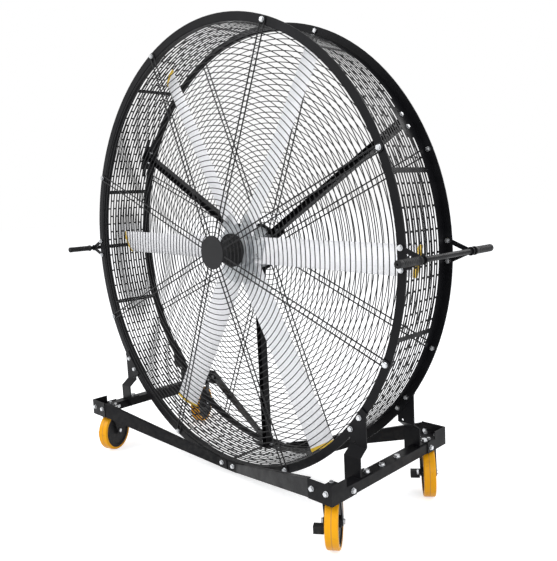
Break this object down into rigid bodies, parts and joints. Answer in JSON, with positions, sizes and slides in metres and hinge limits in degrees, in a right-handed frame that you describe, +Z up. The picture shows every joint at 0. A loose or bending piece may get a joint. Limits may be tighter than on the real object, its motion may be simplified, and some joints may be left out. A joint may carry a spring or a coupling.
{
  "type": "exhaust fan",
  "caption": "Large drum exhaust fan with wire guards, aluminium blades, side push handles and a wheeled steel base with swivel brake casters.",
  "frame": {"origin": "on the floor under the middle of the drum, midway between its two guards", "axes": "+Y along the rotor axis from the front guard to the rear, +X to the right seen from the front, +Z up"},
  "size_m": [2.172, 0.7668, 2.0559],
  "materials": {
    "frame_black": "satin",
    "guard_black": "satin",
    "zinc": "satin",
    "silver_casting": "satin",
    "blade_aluminium": "satin",
    "steel": "satin",
    "black_plastic": "matte",
    "cap_yellow": "gloss",
    "tread_yellow": "semi-gloss"
  },
  "bodies": {
    "frame": {"drum_shell": "frame_black", "front_ring": "frame_black", "rear_ring": "frame_black", "front_guard_circles": "guard_black", "rear_guard_circles": "guard_black", "front_guard_spokes": "guard_black", "rear_guard_spokes": "guard_black", "guard_hub_plates": "guard_black", "guard_bolts": "zinc", "motor_mount": "frame_black", "strut_right": "frame_black", "strut_left": "frame_black", "strut_bottom": "frame_black", "motor_stator": "silver_casting", "motor_shaft": "steel", "handle_left": "frame_black", "handle_right": "frame_black", "handle_grips": "black_plastic", "handle_brackets": "frame_black", "side_beam_left": "frame_black", "side_beam_right": "frame_black", "corner_brackets": "frame_black", "diagonal_struts": "frame_black", "uprights": "frame_black", "ring_foot_plates": "frame_black", "frame_bolts": "zinc", "caster_plates": "zinc"},
    "rotor": {"rotor_hub": "silver_casting", "motor_cap": "black_plastic", "bearings": "steel", "blade_clamps": "silver_casting", "blade_bolts": "zinc", "blade_tip_caps": "cap_yellow", "blade_1": "blade_aluminium", "blade_2": "blade_aluminium", "blade_3": "blade_aluminium", "blade_4": "blade_aluminium", "blade_5": "blade_aluminium", "blade_6": "blade_aluminium"},
    "swivel_fl": {"fork_fl": "frame_black", "axle_fl": "steel"},
    "wheel_fl": {"wheel_core_fl": "black_plastic", "tread_fl": "tread_yellow"},
    "brake_fl": {"pedal_fl": "black_plastic"},
    "swivel_fr": {"fork_fr": "frame_black", "axle_fr": "steel"},
    "wheel_fr": {"wheel_core_fr": "black_plastic", "tread_fr": "tread_yellow"},
    "brake_fr": {"pedal_fr": "black_plastic"},
    "swivel_rl": {"fork_rl": "frame_black", "axle_rl": "steel"},
    "wheel_rl": {"wheel_core_rl": "black_plastic", "tread_rl": "tread_yellow"},
    "brake_rl": {"pedal_rl": "black_plastic"},
    "swivel_rr": {"fork_rr": "frame_black", "axle_rr": "steel"},
    "wheel_rr": {"wheel_core_rr": "black_plastic", "tread_rr": "tread_yellow"},
    "brake_rr": {"pedal_rr": "black_plastic"}
  },
  "joints": [
    {"name": "rotor_spin", "type": "hinge", "parent": "frame", "child": "rotor", "pos_m": [0, 0, 1.056], "axis": [0, 1, 0], "continuous": true},
    {"name": "swivel_fl", "type": "hinge", "parent": "frame", "child": "swivel_fl", "pos_m": [-0.77, -0.3115, 0.25], "axis": [0, 0, 1], "continuous": true},
    {"name": "roll_fl", "type": "hinge", "parent": "swivel_fl", "child": "wheel_fl", "pos_m": [-0.78124, -0.28368, 0.1], "axis": [-0.9272, -0.3746, 0], "continuous": true},
    {"name": "brake_fl", "type": "hinge", "parent": "swivel_fl", "child": "brake_fl", "pos_m": [-0.78124, -0.28368, 0.1], "axis": [-0.9272, -0.3746, 0], "range_deg": [-20, 0]},
    {"name": "swivel_fr", "type": "hinge", "parent": "frame", "child": "swivel_fr", "pos_m": [0.77, -0.3115, 0.25], "axis": [0, 0, 1], "continuous": true},
    {"name": "roll_fr", "type": "hinge", "parent": "swivel_fr", "child": "wheel_fr", "pos_m": [0.75322, -0.28663, 0.1], "axis": [-0.829, -0.5592, 0], "continuous": true},
    {"name": "brake_fr", "type": "hinge", "parent": "swivel_fr", "child": "brake_fr", "pos_m": [0.75322, -0.28663, 0.1], "axis": [-0.829, -0.5592, 0], "range_deg": [-20, 0]},
    {"name": "swivel_rl", "type": "hinge", "parent": "frame", "child": "swivel_rl", "pos_m": [-0.77, 0.3115, 0.25], "axis": [0, 0, 1], "continuous": true},
    {"name": "roll_rl", "type": "hinge", "parent": "swivel_rl", "child": "wheel_rl", "pos_m": [-0.75592, 0.28501, 0.1], "axis": [0.8829, 0.4695, 0], "continuous": true},
    {"name": "brake_rl", "type": "hinge", "parent": "swivel_rl", "child": "brake_rl", "pos_m": [-0.75592, 0.28501, 0.1], "axis": [0.8829, 0.4695, 0], "range_deg": [-20, 0]},
    {"name": "swivel_rr", "type": "hinge", "parent": "frame", "child": "swivel_rr", "pos_m": [0.77, 0.3115, 0.25], "axis": [0, 0, 1], "continuous": true},
    {"name": "roll_rr", "type": "hinge", "parent": "swivel_rr", "child": "wheel_rr", "pos_m": [0.78805, 0.28754, 0.1], "axis": [0.7986, 0.6018, 0], "continuous": true},
    {"name": "brake_rr", "type": "hinge", "parent": "swivel_rr", "child": "brake_rr", "pos_m": [0.78805, 0.28754, 0.1], "axis": [0.7986, 0.6018, 0], "range_deg": [-20, 0]}
  ]
}
